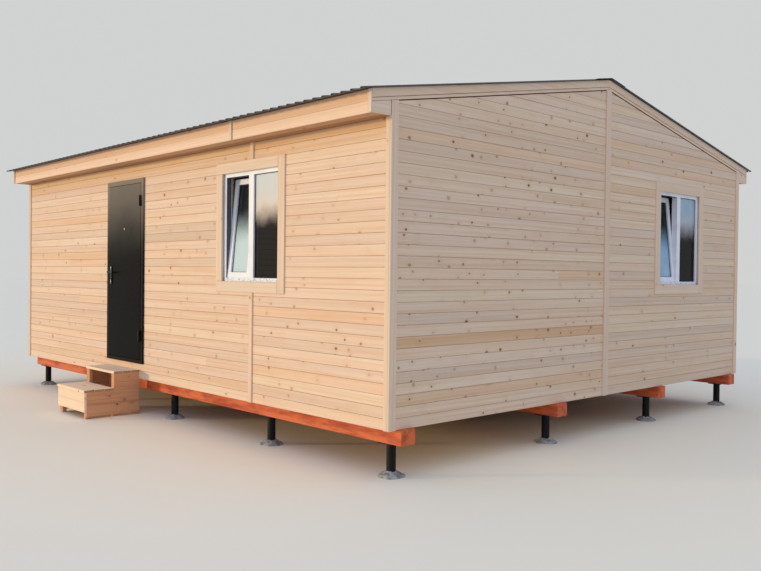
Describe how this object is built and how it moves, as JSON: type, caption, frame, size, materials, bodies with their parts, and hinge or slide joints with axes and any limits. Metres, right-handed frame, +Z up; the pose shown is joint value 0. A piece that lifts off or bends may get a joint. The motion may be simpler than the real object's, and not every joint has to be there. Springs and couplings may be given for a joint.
{
  "type": "summer cabin",
  "caption": "Timber cabin on steel piles with a low ribbed metal gable roof, boxed eaves, a hinged steel door, tilted windows and wooden steps.",
  "frame": {"origin": "centre of the bounding box at ground level, where the concrete feet stand", "axes": "+X along the door wall towards the gable with the window, +Y from the door wall to the rear wall, +Z up"},
  "size_m": [7.352, 6.9158, 3.5544],
  "materials": {
    "footing_concrete": "rough pale concrete",
    "black_steel": "satin black paint",
    "red_stain": "red-orange preservative stain",
    "raw_timber": "bare sawn softwood",
    "cladding": "bare planed softwood",
    "trim": "bare planed softwood",
    "step_timber": "bare planed softwood",
    "roof_metal": "dark coated ribbed sheet",
    "window_plastic": "white, smooth",
    "window_glass": "clear double glazing",
    "door_steel": "dark brown-black powder coat",
    "handle_metal": "dark satin"
  },
  "bodies": {
    "cabin": {"barge_boards": "trim", "bearers": "red_stain", "corner_boards": "trim", "door_frame": "door_steel", "door_skirt": "cladding", "eave_ends": "trim", "fascia_battens": "trim", "fascias": "trim", "floor_deck": "raw_timber", "floor_frame_front": "raw_timber", "floor_frame_rear": "raw_timber", "frame_hinges": "door_steel", "front_window_casing": "trim", "front_window_frame": "window_plastic", "front_window_glass": "window_glass", "front_window_sash": "window_plastic", "front_window_sash_glass": "window_glass", "gable_strips": "trim", "pile_feet": "footing_concrete", "pile_heads": "black_steel", "piles": "black_steel", "ridge_cap": "roof_metal", "roof_panel_front": "raw_timber", "roof_panel_rear": "raw_timber", "roof_sheet_front": "roof_metal", "roof_sheet_rear": "roof_metal", "side_window_casing": "trim", "side_window_frame": "window_plastic", "side_window_glass": "window_glass", "side_window_sash": "window_plastic", "side_window_sash_glass": "window_glass", "soffits": "trim", "step_front": "step_timber", "step_posts": "step_timber", "step_sides": "step_timber", "step_treads": "step_timber", "subfloor": "raw_timber", "wall_battens": "trim", "wall_front_left": "cladding", "wall_front_right": "cladding", "wall_left_front": "cladding", "wall_left_rear": "cladding", "wall_over_door": "cladding", "wall_rear": "cladding", "wall_right_front": "cladding", "wall_right_rear": "cladding"},
    "door": {"door_leaf": "door_steel", "leaf_hinges": "door_steel", "door_handles": "handle_metal", "door_peephole": "handle_metal"}
  },
  "joints": [
    {"name": "door_hinge", "type": "hinge", "parent": "cabin", "child": "door", "pos_m": [-0.32, -2.86963, 0.56], "axis": [0, 0, 1], "range_deg": [0, 105]}
  ]
}
